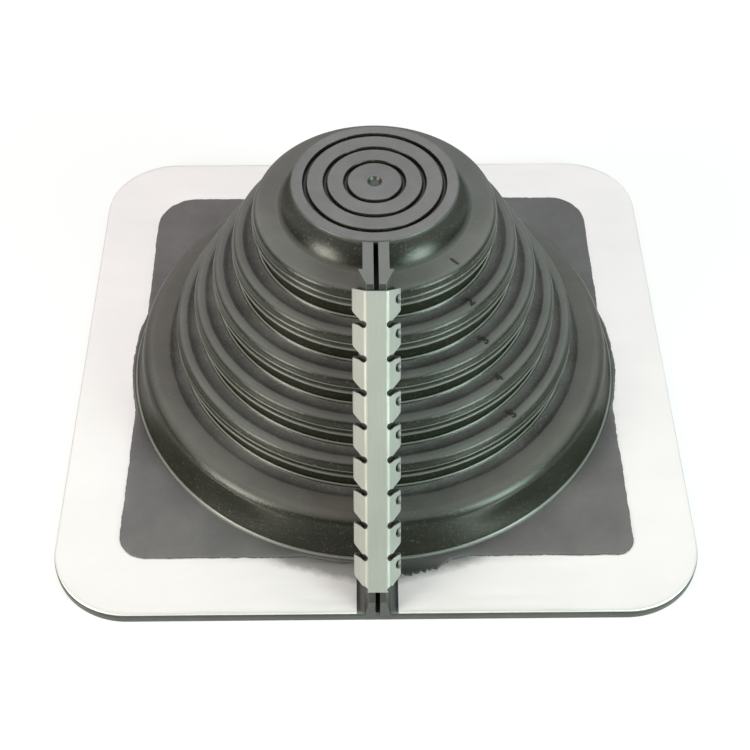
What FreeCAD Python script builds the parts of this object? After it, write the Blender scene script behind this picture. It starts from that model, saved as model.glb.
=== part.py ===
import FreeCAD, Part
import math
import os
import re
import Sketcher

# A pipe flashing boot: a stepped rubber cone on a square base, a soft aluminium ring round the
# base, and a folded channel that grips two barbed lips down the front of the cone.
# Millimetres, +Z up. The origin is the middle of the base's underside. The lips face -Y.

SIZES = [
    # The rubber base and the field that stands up inside the aluminium ring.
    ("base_corner", 25.0, "corner radius of the rubber base"),
    ("base_rubber", 3.5, "rubber under the aluminium ring"),
    ("plate_band", 17.4, "base beyond the round skirt, at the middle of a side"),
    ("plate_inset", 0.3, "how far the ring's edge lies inside the rubber's"),
    ("plate_thickness", 0.8, "aluminium sheet"),
    ("field_inset", 2.9, "raised field's sides inside the skirt's edge"),
    ("field_corner", 12.0, "corner radius of the raised field"),
    ("field_rise", 0.4, "field above the top of the ring"),
    ("skirt_margin", 1.8, "round skirt beyond the foot of the cone"),
    ("seam_width", 12.8, "slot in the ring where the lips come down"),
    ("seal_width", 3.0, "sealing groove under the base"),
    ("seal_depth", 0.8, "depth of the sealing groove"),
    ("seal_margin", 6.0, "sealing groove from the base's edge"),
    # The closed top and the neck below it.
    ("boot_height", 88.4, "top of the disc above the underside"),
    ("disc_radius", 25.8, "closed top disc"),
    ("disc_rim", 0.8, "bevel of the disc's rim"),
    ("disc_thickness", 3.2, "rubber of the disc"),
    ("disc_lip", 1.7, "height of the disc's upright rim"),
    ("guide_inner", 8.9, "radius of the innermost cutting groove"),
    ("guide_pitch", 6.25, "from one cutting groove to the next"),
    ("guide_width", 1.3, "cutting groove at its mouth"),
    ("guide_depth", 1.2, "depth of a cutting groove"),
    ("dimple_radius", 2.4, "dimple in the middle of the disc"),
    ("dimple_depth", 0.9, "depth of that dimple"),
    # The rings of the cone, from the top down.
    ("shelf_height", 78.9, "first shelf above the underside"),
    ("ring_radius", 38.2, "first ring at the edge line of its wall"),
    ("ring_out", 7.05, "how much wider each ring is than the one above"),
    ("ring_down", 11.9, "how much lower each shelf is"),
    ("edge_run", 1.6, "eased round of a shelf's outer edge, across"),
    ("edge_drop", 1.3, "eased round of a shelf's outer edge, down"),
    ("edge_lean", 0.4, "wall above its edge line leans in by"),
    ("rim_stand", 0.2, "lower rim stands out from the edge line by"),
    ("rim_drop", 6.3, "lower rim of the wall below its shelf"),
    ("recess_depth", 1.5, "recess below the rim, inside the edge line"),
    ("recess_rise", 1.1, "slant from the rim into the recess"),
    # The tall band at the foot of the cone.
    ("band_out", 13.1, "outer edge of the last shelf beyond the fifth ring's"),
    ("shoulder_round", 4.6, "rounded shoulder of the band"),
    ("band_flare", 3.1, "foot of the band's wall beyond that edge"),
    ("foot_bevel", 0.8, "bevel between the band and the field"),
    # The hollow inside.
    ("wall", 3.4, "from a ring's edge line to the hollow"),
    ("shelf_rubber", 2.5, "rubber of a shelf"),
    ("band_wall", 3.6, "rubber of the tall band at its foot"),
    ("shoulder_bevel", 3.8, "bevel inside the band's shoulder"),
    # The two barbed lips.
    ("lip_reach", 42.6, "crest of the lips from the axis, at their top"),
    ("lip_drop", 0.7, "top of the lips below the disc"),
    ("lip_end", 10.7, "crest of the lips at the base's edge"),
    ("slit_width", 1.4, "slit between the lips"),
    ("stem_width", 7.9, "both stems and the slit"),
    ("crest_width", 6.7, "both barbs at their crest"),
    ("barb_width", 10.6, "both barbs at their shoulders"),
    ("barb_depth", 4.8, "from the crest down to the shoulders"),
    ("lip_depth", 30.0, "how deep the lips are rooted"),
    # The folded channel.
    ("channel_sheet", 0.9, "sheet of the channel"),
    ("channel_fold", 0.7, "inner radius of its folds"),
    ("web_gap", 0.4, "between the crest and the web"),
    ("hook_gap", 0.1, "between the barbs' shoulders and the hooks"),
    ("hook_play", 0.2, "hook's centre outside the barb's shoulder"),
    ("fold_inset", 0.4, "web's fold inside the crest's corner"),
    ("tip_gap", 0.45, "between a stem and the hook's tip"),
    ("channel_setback", 1.8, "channel's end below the top of the lips"),
    ("channel_stub", 0.35, "strip left beyond the last notch"),
    ("tooth_count", 9, "teeth along each leg"),
    ("tooth_pitch", 10.13, "from one tooth to the next"),
    ("notch_end", 0.6, "radius of a notch's blind end"),
    ("notch_inner", 3.9, "centre of that end from the middle"),
    ("notch_mouth", 4.5, "notch just outside the leg"),
    ("punch_radius", 1.25, "punched hole in a right-hand tooth"),
    ("punch_drop", 2.9, "punched hole below the tooth's top"),
    ("punch_depth", 2.5, "punched hole below the crest"),
]

RING_COUNT = 5
# Rounds are drawn in flats, which keeps so many rings and teeth light.
NECK_FLAT_COUNT = 3
SHOULDER_FLAT_COUNT = 2
FOLD_FLAT_COUNT = 2
HOOK_FLAT_COUNT = 3
NOTCH_FLAT_COUNT = 3
HOLE_FLAT_COUNT = 10
GUIDE_COUNT = 3
MARGIN = 60.0   # how far a cutting outline runs past the part

# From the axis outwards: the last shelf's edge, the foot of the cone, the skirt, the field's side
# and the base's side.
LAST_EDGE = "(ring_radius + %d * ring_out + band_out)" % (RING_COUNT - 1)
BAND_FOOT = "(" + LAST_EDGE + " + band_flare)"
SKIRT = "(" + BAND_FOOT + " + skirt_margin)"
FIELD_HALF = "(" + SKIRT + " - field_inset)"
BASE_HALF = "(" + SKIRT + " + plate_band)"
# Angle of the crest below the horizontal, from the lips' top to the base's edge.
LIP_TOP = "(boot_height - lip_drop)"
LIP_ANGLE = "atan((" + LIP_TOP + " - lip_end) / (" + BASE_HALF + " - lip_reach))"
# Angle of the channel's legs, square to their faces, from the section's X.
LEG_RUN = "(barb_width / 2 + hook_play - crest_width / 2 + fold_inset)"
LEG_FALL = "(web_gap + barb_depth + hook_gap - 2 * channel_fold)"
LEG_ANGLE = "atan(" + LEG_RUN + " / " + LEG_FALL + ")"
FIELD_TOP = "(base_rubber + plate_thickness + field_rise)"


def bound(text):
    """Give each size in a formula its sheet's name."""
    return re.sub(r"[a-z]+(?:_[a-z]+)+|\bwall\b", lambda word: "Sizes." + word.group(0), text)


def number(sheet, text):
    """Work a formula out."""
    found = sheet.evalExpression(bound(text))
    return float(getattr(found, "Value", found))


def make_sheet(document):
    sheet = document.addObject("Spreadsheet::Sheet", "Sizes")
    for row, (alias, value, meaning) in enumerate(SIZES, start=1):
        sheet.set("A%d" % row, meaning)
        sheet.set("B%d" % row, str(value))
        sheet.setAlias("B%d" % row, alias)
    document.recompute()
    return sheet


def plane(body, role):
    return next(item for item in body.Origin.OriginFeatures if item.Role == role)


def new_body(document, name):
    body = document.addObject("PartDesign::Body", name)
    body.Label = name
    return body


def new_sketch(body, name, role, lift=None):
    """Start a sketch on one of the body's own planes, lifted by a formula."""
    sketch = body.newObject("Sketcher::SketchObject", name)
    sketch.AttachmentSupport = [(plane(body, role), "")]
    sketch.MapMode = "FlatFace"
    if lift is not None:
        sketch.setExpression("AttachmentOffset.Base.z", bound(lift))
    return sketch


def pin(sketch, sheet, item, end, axis, text):
    """Hold one coordinate of a point by a formula."""
    if abs(number(sheet, text)) < 1e-9:
        sketch.addConstraint(Sketcher.Constraint("PointOnObject", item, end, -2 if axis == "X" else -1))
        return
    held = sketch.addConstraint(Sketcher.Constraint("Distance" + axis, item, end, number(sheet, text)))
    sketch.setExpression("Constraints[%d]" % held, bound(text))


def arc_through(start, finish, radius, side):
    """The shorter arc between two points. Side +1 bulges to the left of the way from start."""
    chord = finish - start
    half = chord.Length / 2
    rise = radius - math.sqrt(max(radius * radius - half * half, 0.0))
    left = FreeCAD.Vector(-chord.y, chord.x, 0).normalize()
    middle = start + chord * 0.5 + left * (rise * side)
    return Part.Arc(start, middle, finish)


def draw(sketch, sheet, corners):
    """Draw a closed outline. A corner is (x, y) in formulas, or (x, y, radius, side) where the
    stretch to the next corner is an arc."""
    points = [FreeCAD.Vector(number(sheet, c[0]), number(sheet, c[1]), 0) for c in corners]
    items = []
    for place, corner in enumerate(corners):
        start = points[place]
        finish = points[(place + 1) % len(points)]
        if len(corner) == 4:
            edge = arc_through(start, finish, number(sheet, corner[2]), corner[3])
        else:
            edge = Part.LineSegment(start, finish)
        items.append(sketch.addGeometry(edge, False))
    first_ends = []
    for place, item in enumerate(items):
        reversed_arc = (sketch.getPoint(item, 1) - points[place]).Length > 1e-6
        first_ends.append(2 if reversed_arc else 1)
    for place, item in enumerate(items):
        after = (place + 1) % len(items)
        sketch.addConstraint(Sketcher.Constraint(
            "Coincident", item, 3 - first_ends[place], items[after], first_ends[after]))
        pin(sketch, sheet, item, first_ends[place], "X", corners[place][0])
        pin(sketch, sheet, item, first_ends[place], "Y", corners[place][1])
        if len(corners[place]) == 4:
            held = sketch.addConstraint(Sketcher.Constraint(
                "Radius", item, number(sheet, corners[place][2])))
            sketch.setExpression("Constraints[%d]" % held, bound(corners[place][2]))


def rounded_square(side, radius):
    """Corners of a square about the origin, with its corners rounded."""
    half = "(" + side + ") / 2"
    inner = half + " - (" + radius + ")"
    minus_half = "-(" + half + ")"
    minus_inner = "-(" + inner + ")"
    return [
        (inner, minus_half, radius, -1), (half, minus_inner),
        (half, inner, radius, -1), (inner, half),
        (minus_inner, half, radius, -1), (minus_half, inner),
        (minus_half, minus_inner, radius, -1), (minus_inner, minus_half),
    ]


def pad(body, sketch, length):
    feature = body.newObject("PartDesign::Pad", sketch.Name + "_pad")
    feature.Profile = sketch
    feature.setExpression("Length", bound(length))
    return feature


def pocket_up(body, sketch, depth):
    """Cut from the sketch's plane along its normal."""
    feature = body.newObject("PartDesign::Pocket", sketch.Name + "_cut")
    feature.Profile = sketch
    feature.Reversed = True
    feature.setExpression("Length", bound(depth))
    return feature


def pocket_across(body, sketch):
    """Cut right through on both sides of the sketch's plane."""
    feature = body.newObject("PartDesign::Pocket", sketch.Name + "_cut")
    feature.Profile = sketch
    feature.SideType = "Symmetric"
    feature.Type = "ThroughAll"
    return feature


def turn(body, sketch, kind):
    """Revolve a profile about the upright axis, as a Revolution or a Groove."""
    feature = body.newObject("PartDesign::" + kind, sketch.Name + "_turn")
    feature.Profile = sketch
    feature.ReferenceAxis = (sketch, ["V_Axis"])
    feature.Angle = 360
    return feature


def ring_line(ring):
    """Radius of a ring's edge line. Ring -1 is the neck."""
    return "(ring_radius + %d * ring_out)" % ring


def shelf(ring):
    return "(shelf_height - %d * ring_down)" % ring


def rounding(x, y, radius, first, last, flats):
    """Corners of a round about a centre, from one angle to another, in equal flats."""
    corners = []
    for step in range(flats + 1):
        share = step / flats
        angle = "(%.6f * (%s) + %.6f * (%s))" % (1 - share, first, share, last)
        corners.append((x + " + " + radius + " * cos" + angle, y + " + " + radius + " * sin" + angle))
    return corners


def mirrored(corners):
    """The same corners on the other side of X = 0, in reverse."""
    return [("-(" + x + ")", y) for x, y in reversed(corners)]


def ring_outline(ring):
    """One step of the cone, from its shelf down to the next shelf."""
    line, level = ring_line(ring), shelf(ring)
    down = level + " - "
    inside = line + " - recess_depth"
    return [
        ("0", level),
        (line + " - edge_lean - edge_run", level),
        (line + " - edge_lean", down + "edge_drop"),
        (line + " + rim_stand", down + "rim_drop"),
        (inside, down + "rim_drop - recess_rise"),
        (inside, down + "ring_down"),
        ("0", down + "ring_down"),
    ]


def cap_outline():
    """The closed disc with its cutting grooves, and the hollowed neck below it."""
    corners = [("0", "boot_height - dimple_depth"), ("dimple_radius", "boot_height")]
    for groove in range(GUIDE_COUNT):
        middle = "guide_inner + %d * guide_pitch" % groove
        corners += [
            (middle + " - guide_width / 2", "boot_height"),
            (middle, "boot_height - guide_depth"),
            (middle + " + guide_width / 2", "boot_height"),
        ]
    under, foot = "boot_height - disc_lip", ring_line(-1) + " - recess_depth"
    corners += [("disc_radius - disc_rim", "boot_height"), ("disc_radius", "boot_height - disc_rim")]
    # The neck is a quarter of an ellipse, upright below the disc and flat at the first shelf.
    for step in range(NECK_FLAT_COUNT + 1):
        angle = "(%g deg)" % (90 * step / NECK_FLAT_COUNT)
        corners.append(("disc_radius + (" + foot + " - disc_radius) * (1 - cos" + angle + ")",
                        under + " - (" + under + " - shelf_height) * sin" + angle))
    corners.append(("0", "shelf_height"))
    return corners


def band_outline():
    """The last shelf, the tall band and its foot, down to the underside of the base."""
    level = shelf(RING_COUNT)
    corners = [("0", level)]
    corners += rounding(LAST_EDGE + " - shoulder_round", level + " - shoulder_round", "shoulder_round",
                        "90 deg", "15 deg", SHOULDER_FLAT_COUNT)
    corners += [
        (BAND_FOOT, FIELD_TOP + " + foot_bevel"),
        (BAND_FOOT + " + foot_bevel", FIELD_TOP),
        (BAND_FOOT + " + foot_bevel", "0"),
        ("0", "0"),
    ]
    return corners


def hollow_outline():
    """The stepped hollow, open below."""
    ceiling = "boot_height - disc_thickness"
    neck = "disc_radius - wall"
    corners = [("0", ceiling), (neck, ceiling), (neck, "shelf_height - shelf_rubber")]
    for ring in range(RING_COUNT):
        inside = ring_line(ring) + " - wall"
        corners.append((inside, shelf(ring) + " - shelf_rubber"))
        corners.append((inside, shelf(ring + 1) + " - shelf_rubber"))
    mouth = BAND_FOOT + " - band_wall"
    corners += [
        (mouth + " - shoulder_bevel", shelf(RING_COUNT) + " - shelf_rubber"),
        (mouth, shelf(RING_COUNT) + " - shelf_rubber - shoulder_bevel"),
        (mouth, "0"),
        ("0", "0"),
    ]
    return corners


def lip_outline():
    """Section of the right-hand lip, across its run: a straight stem and a barbed head. The crest
    is at 0."""
    slit, stem, crest, barb = "slit_width / 2", "stem_width / 2", "crest_width / 2", "barb_width / 2"
    return [(slit, "0"), (crest, "0"), (barb, "-barb_depth"), (stem, "-barb_depth"),
            (stem, "-lip_depth"), (slit, "-lip_depth")]


def keep_below_outline():
    """Everything above the lips' top, in front of the base's edge and below the base."""
    edge = "-" + BASE_HALF
    back, past = "lip_depth", "%g" % MARGIN
    top_past = LIP_TOP + " + " + past
    return [(back, LIP_TOP), (edge, LIP_TOP), (edge, "0"), (back, "0"), (back, "-" + past),
            (edge + " - " + past, "-" + past), (edge + " - " + past, top_past), (back, top_past)]


def add_lips(body, sheet):
    """Two lips that run straight from the disc to the base's edge."""
    sketch = new_sketch(body, "lips", "XY_Plane")
    draw(sketch, sheet, lip_outline())
    draw(sketch, sheet, mirrored(lip_outline()))
    lay_along_run(sketch, "AttachmentOffset", "-lip_depth")
    run = "(" + BASE_HALF + " - lip_reach) / cos(" + LIP_ANGLE + ")"
    pad(body, sketch, run + " + 2 * lip_depth")
    pocket_across(body, trim_sketch(body, sheet))


def trim_sketch(body, sheet):
    sketch = new_sketch(body, "lip_trim", "YZ_Plane")
    draw(sketch, sheet, keep_below_outline())
    return sketch


def lay_along_run(item, placement, shift):
    """Turn an object's Z down along the lips' crest and its Y out of it, and slide it along."""
    item.setExpression(placement + ".Rotation.Axis.x", "1")
    item.setExpression(placement + ".Rotation.Axis.y", "0")
    item.setExpression(placement + ".Rotation.Axis.z", "0")
    item.setExpression(placement + ".Rotation.Angle", bound("90 deg + " + LIP_ANGLE))
    along_y = "-lip_reach - (" + shift + ") * cos(" + LIP_ANGLE + ")"
    along_z = LIP_TOP + " - (" + shift + ") * sin(" + LIP_ANGLE + ")"
    item.setExpression(placement + ".Base.y", bound(along_y))
    item.setExpression(placement + ".Base.z", bound(along_z))


def make_boot(document, sheet):
    body = new_body(document, "boot")
    base = new_sketch(body, "base", "XY_Plane")
    draw(base, sheet, rounded_square("2 * " + BASE_HALF, "base_corner"))
    pad(body, base, "base_rubber")
    add_lips(body, sheet)

    field = new_sketch(body, "field", "XY_Plane")
    draw(field, sheet, rounded_square("2 * " + FIELD_HALF, "field_corner"))
    pad(body, field, FIELD_TOP)
    skirt = new_sketch(body, "skirt", "XY_Plane")
    add_circle(skirt, "0", "0", SKIRT, sheet)
    pad(body, skirt, FIELD_TOP)

    outlines = [("band", band_outline())]
    outlines += [("ring_%d" % (ring + 1), ring_outline(ring)) for ring in reversed(range(RING_COUNT))]
    outlines.append(("cap", cap_outline()))
    for name, corners in outlines:
        profile = new_sketch(body, name, "XZ_Plane")
        draw(profile, sheet, corners)
        turn(body, profile, "Revolution")

    hollow = new_sketch(body, "hollow", "XZ_Plane")
    draw(hollow, sheet, hollow_outline())
    turn(body, hollow, "Groove")

    seal = new_sketch(body, "seal", "XY_Plane")
    for inset in ("seal_margin", "(seal_margin + seal_width)"):
        draw(seal, sheet, rounded_square("2 * (" + BASE_HALF + " - " + inset + ")", "base_corner - " + inset))
    pocket_up(body, seal, "seal_depth")
    return body


def add_circle(sketch, x, y, radius, sheet):
    centre = FreeCAD.Vector(number(sheet, x), number(sheet, y), 0)
    item = sketch.addGeometry(Part.Circle(centre, FreeCAD.Vector(0, 0, 1), number(sheet, radius)), False)
    pin(sketch, sheet, item, 3, "X", x)
    pin(sketch, sheet, item, 3, "Y", y)
    held = sketch.addConstraint(Sketcher.Constraint("Radius", item, number(sheet, radius)))
    sketch.setExpression("Constraints[%d]" % held, bound(radius))


def make_base_ring(document, sheet):
    """The aluminium sheet: it lies on the rubber and closes on the raised field all round."""
    body = new_body(document, "base_ring")
    side = "2 * (" + BASE_HALF + " - plate_inset)"
    sheet_outline = new_sketch(body, "plate", "XY_Plane", "base_rubber")
    draw(sheet_outline, sheet, rounded_square(side, "base_corner - plate_inset"))
    pad(body, sheet_outline, "plate_thickness")

    opening = new_sketch(body, "opening", "XY_Plane", "base_rubber")
    draw(opening, sheet, rounded_square("2 * " + FIELD_HALF, "field_corner"))
    pocket_up(body, opening, "plate_thickness")
    round_opening = new_sketch(body, "round_opening", "XY_Plane", "base_rubber")
    add_circle(round_opening, "0", "0", SKIRT, sheet)
    pocket_up(body, round_opening, "plate_thickness")

    slot = new_sketch(body, "slot", "XY_Plane", "base_rubber")
    inside, outside = "-" + FIELD_HALF, "-" + BASE_HALF
    draw(slot, sheet, [("-seam_width / 2", outside), ("seam_width / 2", outside),
                       ("seam_width / 2", inside), ("-seam_width / 2", inside)])
    pocket_up(body, slot, "plate_thickness")
    return body


def channel_outline():
    """Section of the folded strip: a flat web, two slanted legs and a hook under each barb."""
    inner, outer = "channel_fold", "(channel_fold + channel_sheet)"
    fold = ("(crest_width / 2 - fold_inset)", "(web_gap - channel_fold)")
    hook = ("(barb_width / 2 + hook_play)", "(channel_fold - barb_depth - hook_gap)")
    tip = "stem_width / 2 + tip_gap"
    half = []
    for radius, turned in ((outer, 1), (inner, -1)):
        bends = rounding(fold[0], fold[1], radius, "90 deg", LEG_ANGLE, FOLD_FLAT_COUNT)
        bends += rounding(hook[0], hook[1], radius, LEG_ANGLE, "-90 deg", HOOK_FLAT_COUNT)
        bends.append((tip, hook[1] + " - " + radius))
        half.append(bends[::turned])
    right = half[0] + half[1]
    return right + mirrored(right)


def notch_outline():
    """A notch in the right-hand leg, seen from the front: a blind round end, square below and
    slanted above."""
    past = "barb_width / 2 + hook_play + channel_fold + 2 * channel_sheet"
    corners = rounding("notch_inner", "tooth_pitch - notch_end", "notch_end",
                       "90 deg", "270 deg", NOTCH_FLAT_COUNT)
    return corners + [(past, "tooth_pitch - notch_mouth"), (past, "tooth_pitch")]


def make_channel(document, sheet):
    body = new_body(document, "closure_channel")
    section = new_sketch(body, "section", "XY_Plane")
    draw(section, sheet, channel_outline())
    pad(body, section, "tooth_count * tooth_pitch + channel_stub")

    notches = new_sketch(body, "notches", "XZ_Plane")
    draw(notches, sheet, notch_outline())
    draw(notches, sheet, mirrored(notch_outline()))
    repeat(body, pocket_across(body, notches), "tooth_pitches")

    punch = new_sketch(body, "punch", "YZ_Plane")
    draw(punch, sheet, rounding("-punch_depth", "punch_drop", "punch_radius", "0 deg",
                                "360 deg", HOLE_FLAT_COUNT)[:-1])
    repeat(body, pocket_up(body, punch, "barb_width"), "punch_pitches")
    lay_along_run(body, "Placement", "channel_setback")
    return body


def repeat(body, feature, name):
    """Copy a cut from tooth to tooth, down the strip."""
    pattern = body.newObject("PartDesign::LinearPattern", name)
    pattern.Originals = [feature]
    pattern.Direction = (plane(body, "Z_Axis"), [""])
    pattern.setExpression("Length", bound("(tooth_count - 1) * tooth_pitch"))
    pattern.setExpression("Occurrences", bound("tooth_count"))
    body.Tip = pattern
    return pattern


def check(document, bodies):
    """Stop if anything failed, and say what each piece came to."""
    for item in document.Objects:
        if "Invalid" in item.State or "Error" in item.State:
            raise RuntimeError(item.Name + " failed: " + ", ".join(item.State))
    for body in bodies:
        if body.Shape.isNull() or not body.Shape.isValid() or len(body.Shape.Solids) != 1:
            raise RuntimeError(body.Label + " is not one valid solid")
        print(body.Label, "volume", round(body.Shape.Volume), "faces", len(body.Shape.Faces))


def main():
    document = FreeCAD.newDocument("pipe_flashing_boot")
    sheet = make_sheet(document)
    bodies = [make_boot(document, sheet), make_base_ring(document, sheet), make_channel(document, sheet)]
    document.recompute()
    check(document, bodies)
    os.makedirs("parts", exist_ok=True)
    for body in bodies:
        body.Shape.exportStep("parts/" + body.Label + ".step")


main()
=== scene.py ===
"""A pipe flashing boot, dressed for the studio: one rubber moulding, a soft aluminium ring and a
folded channel, on a pale floor. The pieces are measured in millimetres and scaled where their
vertices are made; the stage is measured in metres.
"""
import math

import bmesh
import bpy
from mathutils import Matrix, Vector, noise

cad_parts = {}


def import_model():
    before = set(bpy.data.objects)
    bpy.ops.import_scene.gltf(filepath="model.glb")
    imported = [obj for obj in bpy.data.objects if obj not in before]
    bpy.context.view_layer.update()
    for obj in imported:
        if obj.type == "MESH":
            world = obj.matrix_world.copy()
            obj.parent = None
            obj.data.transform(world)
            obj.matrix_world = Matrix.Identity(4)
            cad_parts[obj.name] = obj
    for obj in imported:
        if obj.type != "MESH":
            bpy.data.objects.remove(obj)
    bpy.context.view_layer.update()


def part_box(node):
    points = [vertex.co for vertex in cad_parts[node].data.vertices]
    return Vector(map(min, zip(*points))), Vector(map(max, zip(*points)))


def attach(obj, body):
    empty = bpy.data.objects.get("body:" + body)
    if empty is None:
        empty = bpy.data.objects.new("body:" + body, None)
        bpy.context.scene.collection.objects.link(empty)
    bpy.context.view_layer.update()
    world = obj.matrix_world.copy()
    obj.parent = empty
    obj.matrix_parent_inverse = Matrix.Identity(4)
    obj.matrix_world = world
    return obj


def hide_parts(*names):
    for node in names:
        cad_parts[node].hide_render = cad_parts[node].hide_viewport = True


MM = 0.001

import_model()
BOOT_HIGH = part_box("boot")[1] / MM
RING_LOW, RING_HIGH = (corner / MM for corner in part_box("base_ring"))

# The moulding's own sizes, worked out from the frame's boxes where they can be. Z is up, the seam
# faces -Y and the axis stands in the middle.
BASE_HALF = BOOT_HIGH.x
BASE_TOP = RING_LOW.z
PLATE_TOP = RING_HIGH.z
PLATE_HALF = RING_HIGH.x
FIELD_RISE = 0.4
FIELD_TOP = PLATE_TOP + FIELD_RISE
TOP = BOOT_HIGH.z
BASE_CORNER = 25.0
PLATE_CORNER = BASE_CORNER - 0.3
PLATE_LAP = 1.6     # how far the sheet runs in under the field
FIELD_HALF = 81.5
FIELD_CORNERS = (9.0, 5.5, 14.0, 13.0)   # near left, near right, far left, far right
SKIRT = 84.4        # the field's reach round the cone's foot, where it bulges past its own sides
SEAM_HALF = 6.4     # half the slit in the sheet
MOUTH = 79.0
SEAL = (BASE_HALF - 9.0, BASE_HALF - 6.0)
SEAL_DEPTH = 0.8

RING_COUNT = 5
FIRST_LINE = 38.2   # reach of the first cutting line, and the height of the shelf it ends
FIRST_SHELF = 78.9
RING_OUT = 7.05
RING_DOWN = 11.9
RECESS = 1.5
LAST_LINE = FIRST_LINE + (RING_COUNT - 1) * RING_OUT
LAST_SHELF = FIRST_SHELF - RING_COUNT * RING_DOWN
BAND_EDGE = LAST_LINE + 13.1
BAND_FOOT = BAND_EDGE + 3.1
DISC = 25.8
FOOT_JOINT = 2.5   # height inside the rubber where the cone's skin meets the base's
FOOT_LAP = 1.5
WALL = 3.4          # thickness sideways, and downwards under the shelves and the disc
SHELF_DEPTH = 2.5
ROOF_DEPTH = 3.2
INSIDE_EASE = 0.6
GUIDES = (8.9, 15.15, 21.4)

# The thin rubber film that ran out over the metal: how far, and its angles in degrees round the axis.
CREEP = 4.4
CREEP_START = 270.0
CREEP_STOP = 289.5
CREEP_FADE = 9.0

# How finely each piece is divided round the axis.
CONE_TURNS = 300
BASE_TURNS = 1440
PLATE_TURNS = 900


# ---------------------------------------------------------------- materials

def new_material(name):
    material = bpy.data.materials.new(name)
    material.use_nodes = True
    return material, material.node_tree.nodes, material.node_tree.links


def node(nodes, kind, **inputs):
    made = nodes.new(kind)
    for key, value in inputs.items():
        made.inputs[key.replace("_", " ")].default_value = value
    return made


def noise_at(nodes, links, scale, detail=4.0, roughness=0.55):
    """Noise in the object's own coordinates. A scale is in features to the metre."""
    place = nodes.new("ShaderNodeTexCoord")
    made = node(nodes, "ShaderNodeTexNoise", Scale=scale, Detail=detail, Roughness=roughness)
    links.new(place.outputs["Object"], made.inputs["Vector"])
    return made.outputs["Fac"]


def spread(nodes, links, value, low, high, start=0.3, stop=0.7):
    """Low at start, high at stop, and held beyond both."""
    made = node(nodes, "ShaderNodeMapRange")
    made.inputs["From Min"].default_value = start
    made.inputs["From Max"].default_value = stop
    made.inputs["To Min"].default_value = low
    made.inputs["To Max"].default_value = high
    links.new(value, made.inputs["Value"])
    return made.outputs["Result"]


def arithmetic(nodes, links, kind, first, second):
    """A sum, product or choice of two values, each a float or another node's output."""
    made = nodes.new("ShaderNodeMath")
    made.operation = kind
    for socket, value in zip(made.inputs, (first, second)):
        if isinstance(value, float):
            socket.default_value = value
        else:
            links.new(value, socket)
    return made.outputs[0]


def two_tones(nodes, links, value, first, second):
    """Mix two colours, each a triple or another node's output."""
    made = nodes.new("ShaderNodeMix")
    made.data_type = "RGBA"
    # The node has several sockets of each name: 0 is the share, 6 and 7 are the colours.
    for socket, colour in ((made.inputs[6], first), (made.inputs[7], second)):
        if isinstance(colour, tuple):
            socket.default_value = (*colour, 1.0)
        else:
            links.new(colour, socket)
    links.new(value, made.inputs[0])
    return made.outputs[2]


def bumps(nodes, links, layers, shader):
    """Stack bumps: each layer is (height, strength, distance in millimetres)."""
    normal = None
    for height, strength, distance in layers:
        made = node(nodes, "ShaderNodeBump", Strength=strength, Distance=distance * MM)
        links.new(height, made.inputs["Height"])
        if normal is not None:
            links.new(normal, made.inputs["Normal"])
        normal = made.outputs["Normal"]
    links.new(normal, shader.inputs["Normal"])


CLOUDS = 60.0       # features to the metre, in the rubber and its grain and in the metal's marks
GRAIN = 1300.0
MARKS = 25.0
PAINTED_SHEEN = (0.68, 0.995)   # how upright a normal is where the painted sheen starts and where it is full
DUST = (0.2, 0.2, 0.19)
DUSTY = (0.58, 0.72)    # the grain that starts to hold dust, and that is full of it
# Painted shade on the rubber just ahead of the field's front edge, in front of the cone.
FRONT_SHADE_TONE = (0.028, 0.027, 0.023)
FRONT_SHADE_PLACE = (-86.5, -83.0)   # on Y: full painted shade up to the first, none from the second


def rubber(name, wall, tread, rough, grain, specks=0.0, specular=0.5, shade_front=False):
    """Moulded EPDM: near black and half glossy on its walls, painted lighter where it faces up as a sheen
    of the light from above and behind.
    Colours are pairs, darker and lighter, for a wall and for what faces up; roughness is a pair for
    the same two. Specks is how much pale dust lies in the grain. The last flag paints the rubber
    in front of the field dark, a painted shade."""
    material, nodes, links = new_material(name)
    shader = nodes["Principled BSDF"]
    shader.inputs["Specular IOR Level"].default_value = specular
    place = nodes.new("ShaderNodeTexCoord")
    facing = nodes.new("ShaderNodeSeparateXYZ")
    links.new(place.outputs["Normal"], facing.inputs[0])
    # Up-facing faces take the lighter tread colour: a painted sheen.
    upward = spread(nodes, links, facing.outputs["Z"], 0.0, 1.0, *PAINTED_SHEEN)
    clouds = noise_at(nodes, links, CLOUDS, 6.0, 0.6)
    fine = noise_at(nodes, links, GRAIN, 3.0, 0.75)
    cloudy = spread(nodes, links, clouds, 0.0, 1.0)
    colour = two_tones(nodes, links, cloudy, two_tones(nodes, links, upward, wall[0], tread[0]),
                       two_tones(nodes, links, upward, wall[1], tread[1]))
    if specks:
        colour = two_tones(nodes, links, spread(nodes, links, fine, 0.0, specks, *DUSTY), colour, DUST)
    # Painted shade: darken the rubber towards the front, ahead of the field's edge.
    if shade_front:
        split = nodes.new("ShaderNodeSeparateXYZ")
        links.new(place.outputs["Object"], split.inputs[0])
        start, stop = (place_on_y * MM for place_on_y in FRONT_SHADE_PLACE)
        front_shade_weight = spread(nodes, links, split.outputs["Y"], 1.0, 0.0, start, stop)
        colour = two_tones(nodes, links, front_shade_weight, colour, FRONT_SHADE_TONE)
    links.new(colour, shader.inputs["Base Color"])
    links.new(spread(nodes, links, upward, *rough, 0.0, 1.0), shader.inputs["Roughness"])
    bumps(nodes, links, [(clouds, 0.15, 0.4), (fine, grain, 0.22)], shader)
    return material


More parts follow.
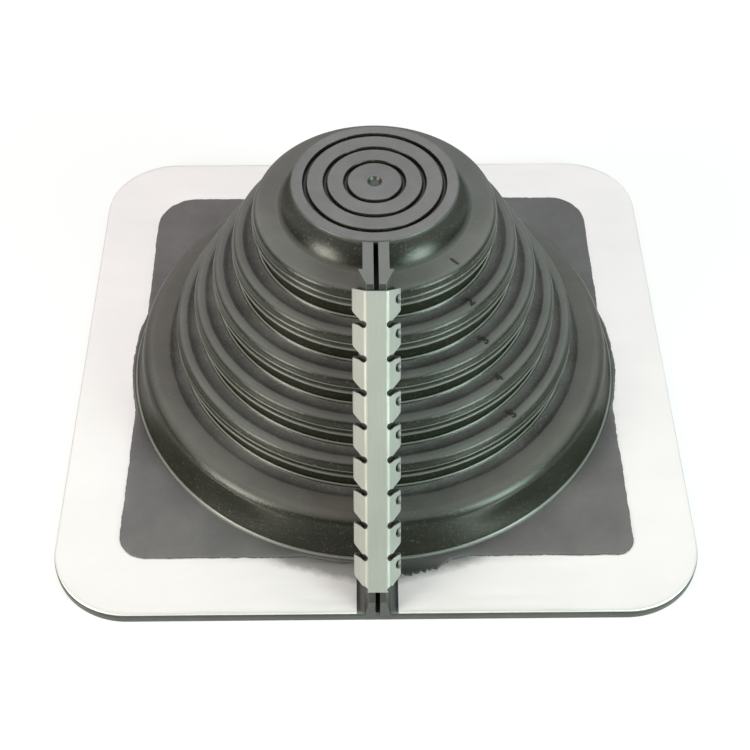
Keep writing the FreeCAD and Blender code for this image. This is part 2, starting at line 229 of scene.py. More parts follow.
def metal(name, colour, tint, rough, metallic, scratch, along, shadowed=False):
    """Sheet metal with a rolled grain along one axis, a dull skin and faint handling marks. Where
    shadowed, a painted shadow of the cone darkens it beside the lips. Roughness is a pair, between
    which the grain varies; along is the grain's features to the metre on each axis."""
    material, nodes, links = new_material(name)
    shader = nodes["Principled BSDF"]
    shader.inputs["Metallic"].default_value = metallic
    place = nodes.new("ShaderNodeTexCoord")
    stretch = nodes.new("ShaderNodeMapping")
    stretch.inputs["Scale"].default_value = along
    links.new(place.outputs["Object"], stretch.inputs["Vector"])
    grain = node(nodes, "ShaderNodeTexNoise", Scale=1.0, Detail=5.0, Roughness=0.6)
    links.new(stretch.outputs["Vector"], grain.inputs["Vector"])
    clouds = noise_at(nodes, links, MARKS, 5.0, 0.6)
    painted = two_tones(nodes, links, spread(nodes, links, clouds, 0.0, 1.0), colour, tint)
    # Painted shadow of the cone on the metal beside the lips.
    if shadowed:
        painted = cone_shadow(nodes, links, place, painted)
    links.new(painted, shader.inputs["Base Color"])
    links.new(spread(nodes, links, grain.outputs["Fac"], *rough), shader.inputs["Roughness"])
    bumps(nodes, links, [(clouds, 0.2, 0.5), (grain.outputs["Fac"], scratch, 0.03)], shader)
    return material


# A painted shadow of the cone, laid on the metal beside the lips.
CONE_SHADOW = 0.68        # how much the painted shadow darkens the metal
CONE_SHADOW_TONE = (0.16, 0.16, 0.15)
CONE_SHADOW_REACH = (92.5, 95.5)   # ahead of the axis, from full to gone
CONE_SHADOW_WIDTH = (28.0, 36.0)   # beside the lips, from full to gone
CONE_SHADOW_LEAN = 0.27   # how much sooner it ends for each step sideways
CONE_SHADOW_BLOTCH = 3.5
CONE_SHADOW_BLOTCHES = 260.0       # features to the metre
CONE_SHADOW_FRONT = (0.0, 50.0)    # ahead of the axis, from none to full


def cone_shadow(nodes, links, place, painted):
    """Painted shadow of the cone on the metal: grey that fades away from the lips and from the cone's
    foot.
    """
    def product(first, second):
        return arithmetic(nodes, links, "MULTIPLY", first, second)

    def total(first, second):
        return arithmetic(nodes, links, "ADD", first, second)

    def fade(value, low, high, reach):
        start, stop = (length * MM for length in reach)
        return spread(nodes, links, value, low, high, start, stop)

    split = nodes.new("ShaderNodeSeparateXYZ")
    links.new(place.outputs["Object"], split.inputs[0])
    aside = arithmetic(nodes, links, "ABSOLUTE", split.outputs["X"], 0.0)
    ahead = product(split.outputs["Y"], -1.0)
    blotches = product(noise_at(nodes, links, CONE_SHADOW_BLOTCHES, 5.0, 0.7), CONE_SHADOW_BLOTCH * MM)
    edge = total(total(ahead, product(aside, CONE_SHADOW_LEAN)), blotches)
    weight = product(fade(edge, CONE_SHADOW, 0.0, CONE_SHADOW_REACH), fade(aside, 1.0, 0.0, CONE_SHADOW_WIDTH))
    weight = product(weight, fade(ahead, 0.0, 1.0, CONE_SHADOW_FRONT))
    return two_tones(nodes, links, weight, painted, CONE_SHADOW_TONE)


DEEP = ((0.007, 0.0075, 0.004), (0.012, 0.0125, 0.008))
DULL = ((0.03, 0.03, 0.028), (0.04, 0.04, 0.038))
# The lighter colours each rubber takes where it faces up are a painted sheen.
TREAD = rubber("rubber_tread", DULL, ((0.106, 0.099, 0.106), (0.15, 0.142, 0.149)),
               rough=(0.42, 0.56), grain=0.5, specks=0.3)
# The field also takes the painted shade in front of the cone.
FIELD = rubber("rubber_field", DULL, ((0.088, 0.08, 0.084), (0.128, 0.117, 0.122)),
               rough=(0.42, 0.56), grain=0.5, specks=0.3, shade_front=True)
SIDES = rubber("rubber_sides", DEEP, ((0.108, 0.105, 0.1), (0.132, 0.127, 0.123)),
               rough=(0.28, 0.5), grain=0.24, specks=0.4, specular=0.28)
# Its up-facing colours are darker than the steps': painted shade, where the cone shades the last shelf
# from the light behind.
SHOULDER = rubber("rubber_shoulder", DEEP, ((0.082, 0.076, 0.071), (0.104, 0.096, 0.091)),
                  rough=(0.28, 0.46), grain=0.24, specks=0.3, specular=0.28)
# Painted highlight: pale rubber for edge lines, bead crests and the wall's foot, where the lamps catch
# them.
RIM_HIGHLIGHT = rubber("rubber_rim_highlight", ((0.075, 0.078, 0.066), (0.11, 0.113, 0.098)),
             ((0.19, 0.187, 0.178), (0.24, 0.236, 0.225)), rough=(0.3, 0.42), grain=0.14, specks=0.3)
# Painted shade: the valley at each wall's foot is darker than the shelf; its grain and dust are real.
VALLEY_SHADE = rubber("rubber_valley_shade", ((0.008, 0.008, 0.006), (0.016, 0.015, 0.012)),
                ((0.05, 0.046, 0.044), (0.115, 0.106, 0.106)), rough=(0.5, 0.7), grain=1.0, specks=0.8)
LIP = rubber("rubber_lip", ((0.02, 0.022, 0.018), (0.034, 0.035, 0.03)),
             ((0.12, 0.117, 0.118), (0.15, 0.146, 0.148)), rough=(0.38, 0.5), grain=0.3, specks=0.2)
INK = rubber("rubber_number", DEEP, ((0.012, 0.012, 0.01), (0.02, 0.02, 0.017)),
             rough=(0.4, 0.55), grain=0.2)
SOFT_ALUMINIUM = metal("soft_aluminium", (0.78, 0.745, 0.745), (0.74, 0.71, 0.708), rough=(0.3, 0.42),
                       metallic=0.65, scratch=0.06, along=(40.0, 900.0, 400.0), shadowed=True)
CHANNEL_METAL = metal("channel_metal", (0.29, 0.293, 0.276), (0.34, 0.34, 0.323), rough=(0.6, 0.72),
                      metallic=1.0, scratch=0.12, along=(1500.0, 60.0, 60.0))


# ---------------------------------------------------------------- the moulding

def arc(centre, radius, first, last, steps):
    """Points on an arc in the section's plane, angles in degrees from outwards towards up."""
    points = []
    for step in range(steps + 1):
        angle = math.radians(first + (last - first) * step / steps)
        points.append((centre[0] + radius * math.cos(angle), centre[1] + radius * math.sin(angle)))
    return points


def disc_section():
    """From the middle of the disc out to its rim: a dimple in a soft ring and three cutting grooves."""
    level = TOP - 0.2
    rows = [((0.0, level - 1.35), LIP), ((0.9, level - 1.3), LIP), ((1.5, level - 1.0), LIP),
            ((1.85, level - 0.55), LIP), ((2.1, level - 0.1), TREAD), ((2.45, level + 0.13), TREAD),
            ((2.8, TOP), TREAD), ((3.2, level + 0.13), TREAD), ((3.9, level), TREAD)]
    cut = [(-1.0, 0.0, TREAD), (-0.8, -0.03, TREAD), (-0.66, -0.16, SIDES), (-0.55, -1.1, SIDES),
           (-0.3, -1.45, SIDES), (0.3, -1.45, SIDES), (0.55, -1.1, SIDES), (0.66, -0.16, SIDES),
           (0.8, -0.03, TREAD), (1.0, 0.0, TREAD)]
    for middle in GUIDES:
        rows += [((middle + out, level + up), slot) for out, up, slot in cut]
    rows += [((DISC - 1.6, level), TREAD)]
    rows += [(point, TREAD) for point in arc((DISC - 0.75, level - 0.75), 0.75, 90, -10, 6)]
    return rows


def neck_section():
    """The glossy hollowed flank under the disc, eased into the first shelf."""
    foot = FIRST_LINE - RING_OUT - 0.45
    start = (DISC + 0.1, TOP - 2.1)
    pull = (DISC + 1.5, FIRST_SHELF + 1.6)
    end = (foot, FIRST_SHELF + 0.02)
    rows = [((DISC - 0.06, TOP - 1.75), SIDES)]
    steps = 12
    for step in range(steps + 1):
        share = step / steps
        spot = [(1 - share) ** 2 * a + 2 * share * (1 - share) * b + share ** 2 * c
                for a, b, c in zip(start, pull, end)]
        rows.append((tuple(spot), SIDES))
    return rows


def foot_of_wall(above, level):
    """A small bead at the foot of the wall above, its crest painted pale as a highlight, then a shallow
    valley with a rough floor, painted dark as the shade under the wall above.
    """
    bead = [(-1.42, 0.12), (-1.3, 0.38), (-1.08, 0.5), (-0.85, 0.42), (-0.7, 0.18), (-0.6, -0.08)]
    floor = [(-0.4, -0.28), (0.1, -0.42), (0.9, -0.5), (1.8, -0.46), (2.5, -0.3), (2.95, -0.13),
             (3.3, -0.04)]
    rows = [((above + out, level + up), RIM_HIGHLIGHT if 0.3 < up else SIDES) for out, up in bead]
    rows += [((above + out, level + up), VALLEY_SHADE) for out, up in floor]
    return rows


def ring_section(ring):
    """One step of the cone: shelf, eased edge, wall with an edge line and a scored groove, rim and
    recess."""
    line = FIRST_LINE + ring * RING_OUT
    level = FIRST_SHELF - ring * RING_DOWN
    rows = foot_of_wall(line - RING_OUT, level) if ring else []
    rows += [((line - RING_OUT + 3.6, level), SIDES), ((line - 2.5, level), SIDES)]
    edge = [(-1.95, -0.03), (-1.45, -0.14), (-1.0, -0.36), (-0.64, -0.72), (-0.42, -1.15),
            (-0.3, -1.7), (-0.2, -2.4), (-0.12, -2.78), (0.04, -2.92), (0.12, -3.1), (0.04, -3.28),
            (-0.02, -3.5), (0.04, -4.6), (0.0, -4.78), (-0.32, -4.86), (-0.38, -5.0), (-0.3, -5.14),
            (0.08, -5.24), (0.17, -5.4), (0.2, -5.75), (0.14, -6.05), (-0.05, -6.22), (-0.7, -6.42),
            (-1.25, -6.8), (-RECESS, -7.5), (-RECESS, -9.5), (-RECESS, 0.4 - RING_DOWN)]
    for out, up in edge:
        # The edge line and the lower lip of the scored groove are painted pale, a painted highlight.
        ridge = -3.4 < up < -2.8 or -6.1 < up < -5.2
        rows.append(((line + out, level + up), RIM_HIGHLIGHT if ridge else SIDES))
    return rows


def band_section():
    """The last shelf, the shoulder and the tall hollowed wall down to the field."""
    shoulder = 4.6
    rows = foot_of_wall(LAST_LINE, LAST_SHELF)
    rows += [((LAST_LINE + 3.6, LAST_SHELF), SHOULDER), ((LAST_LINE + 5.5, LAST_SHELF + 0.03), SHOULDER),
             ((BAND_EDGE - 5.4, LAST_SHELF), SHOULDER)]
    rows += [(point, SHOULDER)
             for point in arc((BAND_EDGE - shoulder, LAST_SHELF - shoulder), shoulder, 90, 15, 12)]
    wall_top = LAST_SHELF - 4.0
    drop = wall_top - FIELD_TOP - 0.9
    for share in (0.2, 0.4, 0.6, 0.8, 0.93):
        flare = (BAND_FOOT - BAND_EDGE) * (0.5 * share + 0.5 * share ** 3)
        rows.append(((BAND_EDGE + flare, wall_top - drop * share), SHOULDER))
    # The crease at the wall's foot takes the pale rim colour, a painted highlight.
    foot = [(-0.12, 0.95, SHOULDER), (-0.02, 0.7, RIM_HIGHLIGHT), (0.12, 0.42, RIM_HIGHLIGHT), (0.45, 0.14, TREAD),
            (1.1, -0.02, TREAD), (0.6, -0.6, LIP)]
    rows += [((BAND_FOOT + out, FIELD_TOP + up), slot) for out, up, slot in foot]
    rows.append(((BAND_FOOT - FOOT_LAP, FOOT_JOINT), LIP))
    return rows


def hollow_section():
    """The stepped inside, from the mouth up to the ceiling's middle."""
    level = LAST_SHELF - SHELF_DEPTH
    rows = [(MOUTH, FOOT_JOINT), (MOUTH, level - 3.8), (MOUTH - 1.1, level - 1.1), (MOUTH - 3.8, level)]
    for ring in reversed(range(RING_COUNT)):
        inside = FIRST_LINE + ring * RING_OUT - WALL
        rows += [(inside + INSIDE_EASE, level), (inside, level + INSIDE_EASE)]
        level += RING_DOWN
        rows += [(inside, level - INSIDE_EASE), (inside - INSIDE_EASE, level)]
    neck = DISC - WALL
    roof = TOP - ROOF_DEPTH
    rows += [(neck + INSIDE_EASE, level), (neck, level + INSIDE_EASE), (neck, roof - 0.7),
             (neck - 0.7, roof), (0.0, roof)]
    return [(point, LIP) for point in rows]


def square_reach(angle, half, corner):
    """Distance from the axis to a rounded square's edge along a direction."""
    across, along = abs(math.cos(angle)), abs(math.sin(angle))
    straight = half / max(across, along)
    if min(across, along) * straight <= half - corner:
        return straight
    middle = half - corner
    lean = middle * (across + along)
    return lean + math.sqrt(max(lean * lean - 2 * middle * middle + corner * corner, 0.0))


def field_reach(angle):
    """Edge of the raised field: a square whose corners came out differently round, and the skirt
    that bulges past it."""
    right, far = math.cos(angle) > 0, math.sin(angle) > 0
    corner = FIELD_CORNERS[2 * far + right]
    return max(square_reach(angle, FIELD_HALF, corner), SKIRT)


def ragged(angle):
    """The thin rubber film where rubber met metal in the mould: never quite even, and it ran far over
    the metal to the right of the lips."""
    way = Vector((math.cos(angle), math.sin(angle), 0.0))
    slow, quick, torn = (noise.noise(way * pitch) for pitch in (9.0, 34.0, 120.0))
    edge = 0.35 * slow + 0.22 * quick + 0.3 * torn * (0.5 + abs(slow))
    turned = math.degrees(angle)
    if turned <= CREEP_START:
        return edge
    creep = min(max((CREEP_STOP - turned) / CREEP_FADE, 0.0), 1.0)
    return edge + creep * (CREEP + quick + 0.9 * torn)


def linked(name, data):
    """A new object in the scene that carries the data."""
    thing = bpy.data.objects.new(name, data)
    bpy.context.collection.objects.link(thing)
    return thing


def build(name, work, slots=()):
    """Turn a bmesh into a linked object with its materials."""
    bmesh.ops.recalc_face_normals(work, faces=work.faces)
    mesh = bpy.data.meshes.new(name)
    work.to_mesh(mesh)
    work.free()
    for material in slots:
        mesh.materials.append(material)
    return linked(name, mesh)


def paint(mesh, material):
    mesh.materials.clear()
    mesh.materials.append(material)


def wrap(name, rows, turns, gap=0.0):
    """Carry a section round the axis and close it on itself. A row is (reach, height, material):
    reach is a length or a function of the angle, height is a level or a function of the place. A
    gap leaves a slot of that half width in front, with flat ends. A section that starts on the
    axis also ends there and isn't closed."""
    work = bmesh.new()
    slots = []
    loops = []
    for reach, height, _ in rows:
        if reach == 0.0:
            loops.append([work.verts.new((0.0, 0.0, height * MM))] * turns)
            continue
        share = 2 * math.pi / turns
        start = 0.5 * share
        if gap:
            # The gap's angle depends on the reach there, so it is approached in a few rounds.
            start = math.asin(gap / reach(-math.pi / 2))
            for _ in range(6):
                start = math.asin(gap / reach(start - math.pi / 2))
            share = (2 * math.pi - 2 * start) / (turns - 1)
        ring = []
        for turn in range(turns):
            angle = start + share * turn - math.pi / 2
            out = reach(angle % (2 * math.pi)) if callable(reach) else reach
            place = Vector((out * math.cos(angle), out * math.sin(angle), 0.0))
            place.z = height(place) if callable(height) else height
            ring.append(work.verts.new(place * MM))
        loops.append(ring)
    closed = rows[0][0] != 0.0
    pairs = list(zip(rows, loops, loops[1:] + loops[:1]))
    for (_, _, material), inner, outer in pairs if closed else pairs[:-1]:
        if material not in slots:
            slots.append(material)
        for turn in range(turns - 1 if gap else turns):
            after = (turn + 1) % turns
            corners = [inner[turn], outer[turn], outer[after], inner[after]]
            face = work.faces.new(list(dict.fromkeys(corners)))
            face.material_index = slots.index(material)
            face.smooth = True
    if gap:
        for end in (0, -1):
            work.faces.new([loop[end] for loop in loops])
    return build(name, work, slots)


def cone():
    """The cone from the disc to the band's foot, and its stepped inside, as one closed skin."""
    section = disc_section() + neck_section()
    for ring in range(RING_COUNT):
        section += ring_section(ring)
    section += band_section() + hollow_section()
    return wrap("boot_cone", [(out, up, material) for (out, up), material in section], CONE_TURNS)


def base_slab():
    """The square base: the field with its torn film of rubber, the rim round the metal and the underside
    with its sealing groove."""
    def field_at(inset):
        return lambda angle: field_reach(angle) + ragged(angle) - inset

    def base_at(inset):
        return lambda angle: square_reach(angle, BASE_HALF - inset, BASE_CORNER - inset)

    def rim(place):
        return BASE_TOP + 0.28 + 0.3 * noise.noise(place * 0.06) + 0.16 * noise.noise(place * 0.7)

    def wavy(level):
        return lambda place: level + 0.05 * noise.noise(place * 0.05)

    foot = BAND_FOOT - FOOT_LAP
    outer, inner = (BASE_HALF - edge for edge in reversed(SEAL))
    field = [(foot, FIELD_TOP - 0.02), (field_at(0.9), wavy(FIELD_TOP)),
             (field_at(0.4), wavy(FIELD_TOP - 0.04)), (field_at(0.12), wavy(FIELD_TOP - 0.12))]
    torn_edge = [(field_at(0.0), FIELD_TOP - 0.26), (field_at(0.05), PLATE_TOP - 0.05),
                 (field_at(2.0), PLATE_TOP - 0.3), (field_at(2.0), BASE_TOP)]
    side = [(base_at(1.3), BASE_TOP), (base_at(0.45), rim), (base_at(0.12), BASE_TOP - 0.15),
            (base_at(0.0), BASE_TOP - 0.8), (base_at(0.0), 0.7), (base_at(0.2), 0.2), (base_at(0.7), 0.0)]
    underside = [(base_at(outer), 0.0), (base_at(outer + 0.2), SEAL_DEPTH),
                 (base_at(inner - 0.2), SEAL_DEPTH), (base_at(inner), 0.0), (MOUTH, 0.0)]
    rows = [(MOUTH, FOOT_JOINT, LIP), (foot, FOOT_JOINT, LIP)]
    rows += [(reach, height, FIELD) for reach, height in field]
    rows += [(reach, height, LIP) for reach, height in torn_edge + side + underside]
    return wrap("boot_base", rows, BASE_TURNS)


# ---------------------------------------------------------------- solids swept along the lips' run

LIP_TOP = TOP - 0.7
LIP_REACH = 42.6    # how far the crest starts ahead of the axis
LIP_END = 10.7      # its height where it meets the base's side
LIP_FOOT = 0.4
LIP_INSET = 0.02    # keeps the lips behind the base's side
BARB_STOP = 6.0
SPARE = 30.0        # run past both ends, trimmed off afterwards
FALL = math.atan2(LIP_TOP - LIP_END, BASE_HALF - LIP_REACH)
RUN = (BASE_HALF - LIP_REACH) / math.cos(FALL)
# Local X is across, Y is out of the crest, Z is down the run.
ALONG_RUN = (Matrix.Translation(Vector((0.0, -LIP_REACH, LIP_TOP)) * MM)
             @ Matrix.Rotation(math.pi / 2 + FALL, 4, "X"))


def prism(name, outlines, low, high, place=Matrix.Identity(4), plane="XY"):
    """Outlines pushed along the third axis from low to high, in millimetres, then put in place."""
    work = bmesh.new()
    for outline in outlines:
        rings = []
        for depth in (low, high):
            spots = {"XY": lambda a, b: (a, b, depth), "XZ": lambda a, b: (a, depth, b),
                     "YZ": lambda a, b: (depth, a, b)}[plane]
            rings.append([work.verts.new(Vector(spots(a, b)) * MM) for a, b in outline])
        work.faces.new(rings[0])
        work.faces.new(list(reversed(rings[1])))
        count = len(outline)
        for corner in range(count):
            after = (corner + 1) % count
            work.faces.new([rings[0][corner], rings[1][corner], rings[1][after], rings[0][after]])
    work.transform(place)
    return build(name, work)


def carve(piece, tool, kind):
    """Boolean with a tool, applied, with the tool thrown away and the slivers it left merged."""
    cut = piece.modifiers.new("cut", "BOOLEAN")
    cut.operation = kind
    cut.object = tool
    cut.solver = "EXACT"
    graph = bpy.context.evaluated_depsgraph_get()
    mesh = bpy.data.meshes.new_from_object(piece.evaluated_get(graph))
    piece.modifiers.clear()
    bpy.data.objects.remove(tool)
    work = bmesh.new()
    work.from_mesh(mesh)
    bmesh.ops.remove_doubles(work, verts=work.verts, dist=0.02 * MM)
    bmesh.ops.dissolve_degenerate(work, edges=work.edges, dist=0.01 * MM)
    work.to_mesh(mesh)
    work.free()
    piece.data = mesh


def shade(piece):
    """Let the large faces steer the shading."""
    evened = piece.modifiers.new("shading", "WEIGHTED_NORMAL")
    evened.weight = 80
    evened.keep_sharp = True


def soften(piece, width, angle=30.0):
    """Round the edges sharper than an angle, then shade."""
    round_off = piece.modifiers.new("edges", "BEVEL")
    round_off.width = width * MM
    round_off.segments = 2
    round_off.limit_method = "ANGLE"
    round_off.angle_limit = math.radians(angle)
    for face in piece.data.polygons:
        face.use_smooth = True
    shade(piece)


def mirrored(outline):
    """The outline on the other side of the seam, in the order that joins it to the first."""
    return [(-across, other) for across, other in reversed(outline)]


def lips():
    """Two barbed lips with a slit between them, cut level at the disc and upright at the base. The
    barbs stop short of the base."""
    plain = [(0.7, 0.0), (2.7, 0.0), (3.95, -4.8), (3.95, -24.0), (0.7, -24.0)]
    barbed = [(0.7, 0.0), (2.9, 0.0), (5.3, -4.8), (3.6, -4.8), (3.6, -6.0), (0.7, -6.0)]
    piece = prism("boot_lips", [plain, mirrored(plain)], -SPARE, RUN + SPARE, ALONG_RUN)
    carve(piece, prism("barbs", [barbed, mirrored(barbed)], -SPARE, RUN - BARB_STOP, ALONG_RUN), "UNION")
    front, back = LIP_INSET - BASE_HALF, 1.0 - DISC
    kept = [(front, LIP_FOOT), (back, LIP_FOOT), (back, LIP_TOP), (front, LIP_TOP)]
    carve(piece, prism("keep", [kept], -20.0, 20.0, plane="YZ"), "INTERSECT")
    paint(piece.data, LIP)
    soften(piece, 0.22)
    return piece


NUMBER_ANGLE = math.radians(-47)
NUMBER_SIZE = 4.4
NUMBER_HEIGHT = 0.3
NUMBER_WEIGHT = 0.08
NUMBER_BACK = (3.4, 3.1, 3.1, 3.1, 3.1)   # from each cutting line to the number's middle


def step_number(ring):
    """A plain raised number on a step, to tell the cutting lines apart. Its top points at the axis."""
    text = bpy.data.curves.new("number", "FONT")
    text.body = str(ring + 1)
    text.size = NUMBER_SIZE * MM
    text.extrude = NUMBER_HEIGHT * MM
    text.offset = NUMBER_WEIGHT * MM
    text.align_x = "CENTER"
    text.align_y = "CENTER"
    carrier = linked("number", text)
    graph = bpy.context.evaluated_depsgraph_get()
    mesh = bpy.data.meshes.new_from_object(carrier.evaluated_get(graph))
    bpy.data.objects.remove(carrier)
    bpy.data.curves.remove(text)
    mesh.name = "boot_number_%d" % (ring + 1)
    outwards = Vector((math.cos(NUMBER_ANGLE), math.sin(NUMBER_ANGLE), 0.0))
    upwards = Vector((0.0, 0.0, 1.0))
    facing = Matrix((upwards.cross(outwards), -outwards, upwards)).transposed()
    reach = FIRST_LINE + ring * RING_OUT - NUMBER_BACK[ring]
    level = FIRST_SHELF - ring * RING_DOWN - 0.1
    middle = (outwards * reach + upwards * level) * MM
    mesh.transform(Matrix.Translation(middle) @ facing.to_4x4())
    paint(mesh, INK)
    return linked(mesh.name, mesh)


# ---------------------------------------------------------------- the folded channel

CHANNEL_SHEET = 0.9
CHANNEL_FOLD = 0.7     # inside radius of every fold
CHANNEL_START = 1.8    # from the crest's upper end
TOOTH_COUNT = 9
TOOTH_PITCH = 10.13
FOLD = (2.55, -0.3)    # middle of the fold from web to leg, and of the hook's
HOOK = (5.5, -4.2)
LEG_ANGLE = math.degrees(math.atan2(HOOK[0] - FOLD[0], FOLD[1] - HOOK[1]))
HOOK_TIP = 4.4

# A notch, across the strip and down the run: its round blind end, then its lower edge, which runs
# off the strip's end in the last notch, and its upper edge.
NOTCH_END = (3.95, -0.32)
NOTCH_ROUND = 1.08
NOTCH_LOWER = [(4.95, 0.34), (6.5, 0.12), (6.9, 0.22), (7.1, 0.5), (9.0, 0.5)]
NOTCH_LAST = [(9.0, 3.0)]
NOTCH_UPPER = [(9.0, -3.9), (7.1, -3.9), (6.95, -3.45), (6.6, -3.05)]
PUNCH = (-3.0, 3.0)    # out of the crest and down the run, from the tooth's upper end
PUNCH_RADIUS = 1.45


def channel_section():
    """Half a section from the web to the hook's tip and back, then its mirror image."""
    outer = CHANNEL_FOLD + CHANNEL_SHEET
    skin = arc(FOLD, outer, 90, LEG_ANGLE, 6) + arc(HOOK, outer, LEG_ANGLE, -90, 12)
    skin.append((HOOK_TIP, HOOK[1] - outer))
    lining = arc(FOLD, CHANNEL_FOLD, 90, LEG_ANGLE, 6) + arc(HOOK, CHANNEL_FOLD, LEG_ANGLE, -90, 12)
    lining.append((HOOK_TIP, HOOK[1] - CHANNEL_FOLD))
    half = skin + lining[::-1]
    return half + mirrored(half)


def notch(tooth):
    """Outline of the right-hand notch at a tooth's foot: a wedge that slopes down from its mouth to
    a round blind end beside the web."""
    foot = TOOTH_PITCH * tooth
    rest = (NOTCH_LAST if tooth == TOOTH_COUNT else NOTCH_LOWER) + NOTCH_UPPER
    blind_end = arc((NOTCH_END[0], foot + NOTCH_END[1]), NOTCH_ROUND, -58, -290, 20)
    return blind_end + [(across, foot + down) for across, down in rest]


def channel():
    """The strip on the lips, notched from both sides and punched once in each tooth of one leg."""
    piece = prism("channel_strip", [channel_section()], 0.0, TOOTH_COUNT * TOOTH_PITCH + 0.35)
    notches = [notch(tooth + 1) for tooth in range(TOOTH_COUNT)]
    notches += [mirrored(outline) for outline in notches]
    carve(piece, prism("notches", notches, -9.0, 6.0, plane="XZ"), "DIFFERENCE")
    holes = [arc((PUNCH[0], PUNCH[1] + TOOTH_PITCH * tooth), PUNCH_RADIUS, 0, 345, 23)
             for tooth in range(TOOTH_COUNT)]
    carve(piece, prism("holes", holes, 3.0, 9.0, plane="YZ"), "DIFFERENCE")
    piece.data.transform(ALONG_RUN @ Matrix.Translation((0.0, 0.0, CHANNEL_START * MM)))
    paint(piece.data, CHANNEL_METAL)
    soften(piece, 0.13, 35.0)
    return piece


# ---------------------------------------------------------------- the aluminium ring

def plate():
    """Soft sheet ring with eased edges, let in under the field's edge, slit at the lips. Handling
    has left it faintly wavy."""
    def outer_at(inset):
        return lambda angle: square_reach(angle, PLATE_HALF - inset, PLATE_CORNER - inset)

    def inner(angle):
        return field_reach(angle) - PLATE_LAP

    def wavy(place):
        return PLATE_TOP - 0.07 + 0.09 * noise.noise(place * 0.045) + 0.05 * noise.noise(place * 0.14)

    rows = [(inner, PLATE_TOP - 0.1)]
    rows += [(outer_at(inset), wavy) for inset in (17.0, 15.0, 13.0, 11.0, 9.0, 7.0, 5.0, 3.5, 2.2, 1.2)]
    rows += [(outer_at(0.45), PLATE_TOP - 0.1), (outer_at(0.15), PLATE_TOP - 0.2),
             (outer_at(0.0), PLATE_TOP - 0.38), (outer_at(0.02), BASE_TOP + 0.1),
             (outer_at(0.2), BASE_TOP), (inner, BASE_TOP)]
    section = [(reach, height, SOFT_ALUMINIUM) for reach, height in rows]
    return wrap("ring_sheet", section, PLATE_TURNS, SEAM_HALF)


# ---------------------------------------------------------------- stage

WHITE = (1.0, 1.0, 1.0)
WORLD_FILL = 0.3          # what the world sheds on everything
ROOM = (0.7, 0.33)        # how bright the room looks in a mirror, at its foot and higher up
ROOM_RISE = (-0.05, 0.2)
FLOOR_HALF = 3.0
FLOOR_DROP = 0.0002
GLOW = (1.0, 1.36)        # the floor's own light, near the boot and far off
GLOW_REACH = (0.4, 1.4)
GLOW_SHARE = 0.75

SENSOR, LENS = 36.0, 65.834
CAMERA_PLACE = (-0.00454, -0.311442, 0.373479)
CAMERA_RIGHT = (0.999924, -0.011878, 0.0033)
CAMERA_UP = (0.007073, 0.772038, 0.635537)

# Name, place, what it points at, size, power and colour.
LAMPS = (("overhead", (0.0, 0.62, 0.74), (0.0, 0.0, 0.03), (1.6, 0.95), 4.7, WHITE),
         ("left", (-0.68, -0.44, 0.34), (0.0, 0.0, 0.05), (0.32, 0.5), 10.0, (1.0, 0.985, 0.85)),
         ("right", (0.62, -0.5, 0.34), (0.0, 0.0, 0.05), (0.32, 0.5), 10.8, (0.78, 1.0, 0.89)))


def area_light(name, place, aim, size, power, colour):
    lamp = bpy.data.lights.new(name, "AREA")
    lamp.shape = "RECTANGLE"
    lamp.size, lamp.size_y = size
    lamp.energy = power
    lamp.color = colour
    thing = linked(name, lamp)
    thing.location = place
    thing.rotation_euler = (Vector(aim) - Vector(place)).to_track_quat("-Z", "Y").to_euler()


def either(nodes, links, chooser, plain, other):
    """The second shader where the chooser is one, else the first."""
    mix = nodes.new("ShaderNodeMixShader")
    links.new(chooser, mix.inputs[0])
    links.new(plain.outputs[0], mix.inputs[1])
    links.new(other.outputs[0], mix.inputs[2])
    return mix


def world():
    """White to the camera, and a dimmer room to whatever mirrors it, so that the shine has shape."""
    made = bpy.data.worlds.new("studio")
    made.use_nodes = True
    nodes, links = made.node_tree.nodes, made.node_tree.links
    fill = nodes["Background"]
    fill.inputs["Color"].default_value = (*WHITE, 1.0)
    fill.inputs["Strength"].default_value = WORLD_FILL
    seen = node(nodes, "ShaderNodeBackground", Color=(*WHITE, 1.0), Strength=1.0)
    room = node(nodes, "ShaderNodeBackground", Color=(*WHITE, 1.0))
    place = nodes.new("ShaderNodeTexCoord")
    way = nodes.new("ShaderNodeSeparateXYZ")
    links.new(place.outputs["Generated"], way.inputs[0])
    links.new(spread(nodes, links, way.outputs["Z"], *ROOM, *ROOM_RISE), room.inputs["Strength"])
    rays = nodes.new("ShaderNodeLightPath").outputs
    mirrored_ray = arithmetic(nodes, links, "MAXIMUM", rays["Is Glossy Ray"], rays["Is Transmission Ray"])
    lit = either(nodes, links, mirrored_ray, fill, room)
    lit = either(nodes, links, rays["Is Camera Ray"], lit, seen)
    links.new(lit.outputs[0], nodes["World Output"].inputs["Surface"])
    bpy.context.scene.world = made


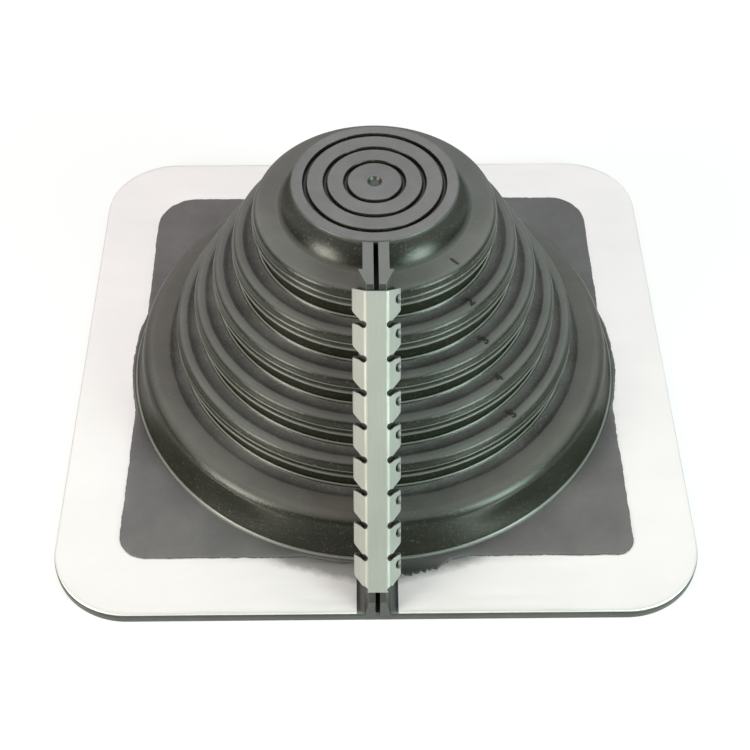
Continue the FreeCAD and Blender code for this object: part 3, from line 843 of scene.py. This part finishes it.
def floor():
    """A pale sheet that takes the shadow. Part of what is seen of it is its own light, which grows
    with distance so that it meets the white behind it."""
    material, nodes, links = new_material("floor")
    shader = nodes["Principled BSDF"]
    shader.inputs["Base Color"].default_value = (0.9, 0.9, 0.9, 1.0)
    shader.inputs["Roughness"].default_value = 0.9
    shader.inputs["Specular IOR Level"].default_value = 0.1
    glow = node(nodes, "ShaderNodeEmission", Color=(*WHITE, 1.0))
    place = nodes.new("ShaderNodeTexCoord")
    away = nodes.new("ShaderNodeVectorMath")
    away.operation = "LENGTH"
    links.new(place.outputs["Object"], away.inputs[0])
    links.new(spread(nodes, links, away.outputs["Value"], *GLOW, *GLOW_REACH), glow.inputs["Strength"])
    rays = nodes.new("ShaderNodeLightPath").outputs
    seen = arithmetic(nodes, links, "MAXIMUM", rays["Is Camera Ray"], rays["Is Glossy Ray"])
    seen = arithmetic(nodes, links, "MAXIMUM", seen, rays["Is Transmission Ray"])
    share = arithmetic(nodes, links, "MULTIPLY", seen, GLOW_SHARE)
    lit = either(nodes, links, share, shader, glow)
    links.new(lit.outputs[0], nodes["Material Output"].inputs["Surface"])
    mesh = bpy.data.meshes.new("floor")
    corners = [(x * FLOOR_HALF, y * FLOOR_HALF, 0.0) for x, y in ((-1, -1), (1, -1), (1, 1), (-1, 1))]
    mesh.from_pydata(corners, [], [(0, 1, 2, 3)])
    mesh.materials.append(material)
    piece = linked("floor", mesh)
    piece.location.z = -FLOOR_DROP


def camera():
    """Looking down on the boot from in front, a little to the left of its middle."""
    lens = bpy.data.cameras.new("camera")
    lens.sensor_width = SENSOR
    lens.lens = LENS
    thing = linked("camera", lens)
    right, up = Vector(CAMERA_RIGHT), Vector(CAMERA_UP)
    pose = Matrix((right, up, right.cross(up))).transposed().to_4x4()
    pose.translation = CAMERA_PLACE
    thing.matrix_world = pose
    bpy.context.scene.camera = thing


def dress(piece, cad_node):
    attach(piece, "root")
    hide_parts(cad_node)


for skin in (cone(), base_slab()):
    shade(skin)
    dress(skin, "boot")
dress(lips(), "boot")
for step in range(RING_COUNT):
    dress(step_number(step), "boot")
dress(channel(), "closure_channel")
sheet = plate()
shade(sheet)
dress(sheet, "base_ring")

floor()
world()
camera()
for lamp in LAMPS:
    area_light(*lamp)
bpy.context.scene.view_settings.view_transform = "Standard"
